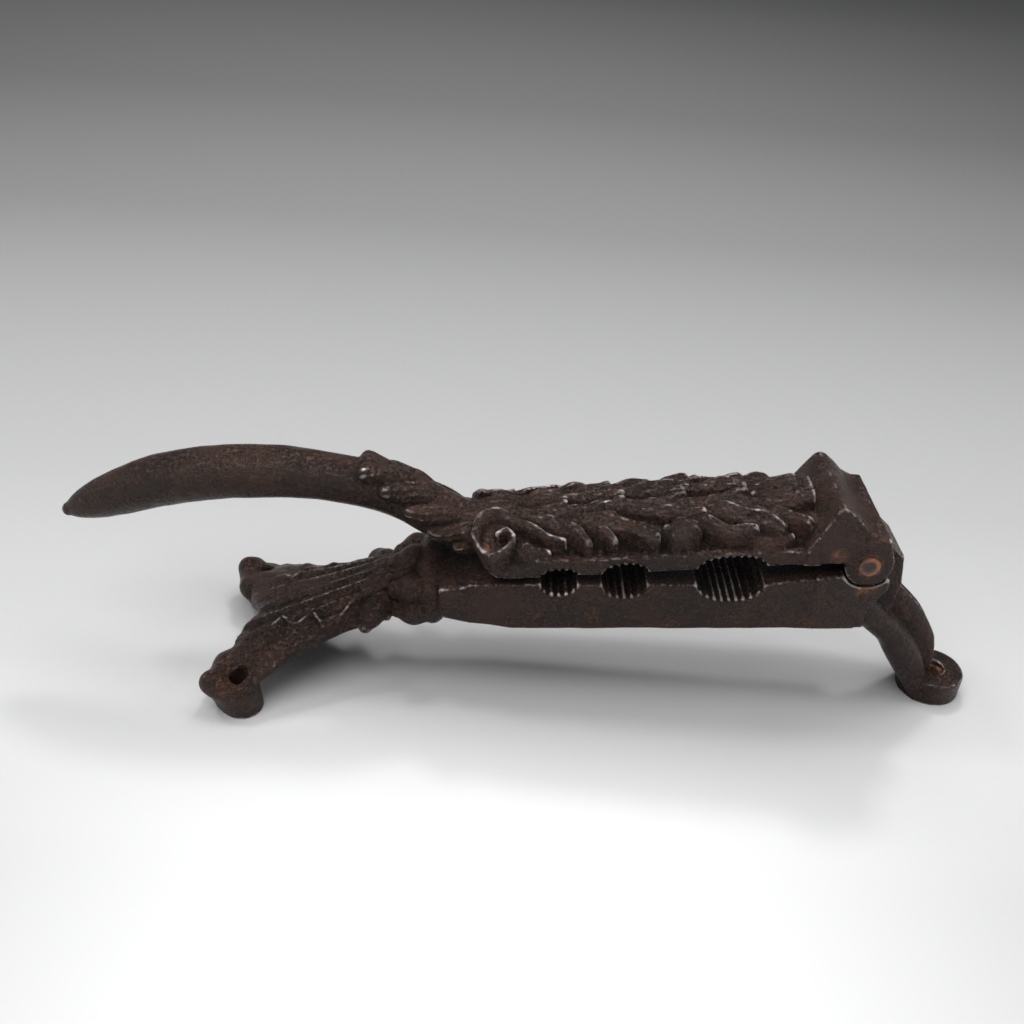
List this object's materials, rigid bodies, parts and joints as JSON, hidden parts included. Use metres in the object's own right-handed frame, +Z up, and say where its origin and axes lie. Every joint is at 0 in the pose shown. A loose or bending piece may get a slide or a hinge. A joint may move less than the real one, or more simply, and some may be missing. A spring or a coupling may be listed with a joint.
{
  "type": "table nutcracker",
  "caption": "Cast-iron table nutcracker: a hinged lever with a leaf-carved upper jaw closes on a serrated lower jaw that stands on splayed leaf feet.",
  "frame": {"origin": "middle of the bounding box, on the surface that the feet stand on", "axes": "+Z up, +X towards the hinge end, +Y across the jaws"},
  "size_m": [0.2705, 0.0654, 0.0726],
  "materials": {
    "base_iron": "dark waxed patina with rust tints and worn bright edges",
    "lever_iron": "dark waxed patina with rust tints and worn bright edges",
    "pin_iron": "peened head with orange rust round it"
  },
  "bodies": {
    "base": {"lower_jaw": "base_iron", "hinge_cheek_near": "base_iron", "hinge_cheek_far": "base_iron", "hinge_tongue": "base_iron", "collar": "base_iron", "leaf_fan": "base_iron", "front_foot_near": "base_iron", "front_foot_far": "base_iron", "rear_leg": "base_iron", "rear_foot": "base_iron"},
    "lever": {"upper_jaw": "lever_iron", "end_crest": "lever_iron", "hinge_ear_near": "lever_iron", "hinge_ear_far": "lever_iron", "hinge_pin": "pin_iron", "lever_arm": "lever_iron", "lever_handle": "lever_iron"}
  },
  "joints": [
    {"name": "lever_hinge", "type": "hinge", "parent": "base", "child": "lever", "pos_m": [0.0895, 0, 0.0559], "axis": [0, 1, 0], "range_deg": [0, 50]}
  ]
}
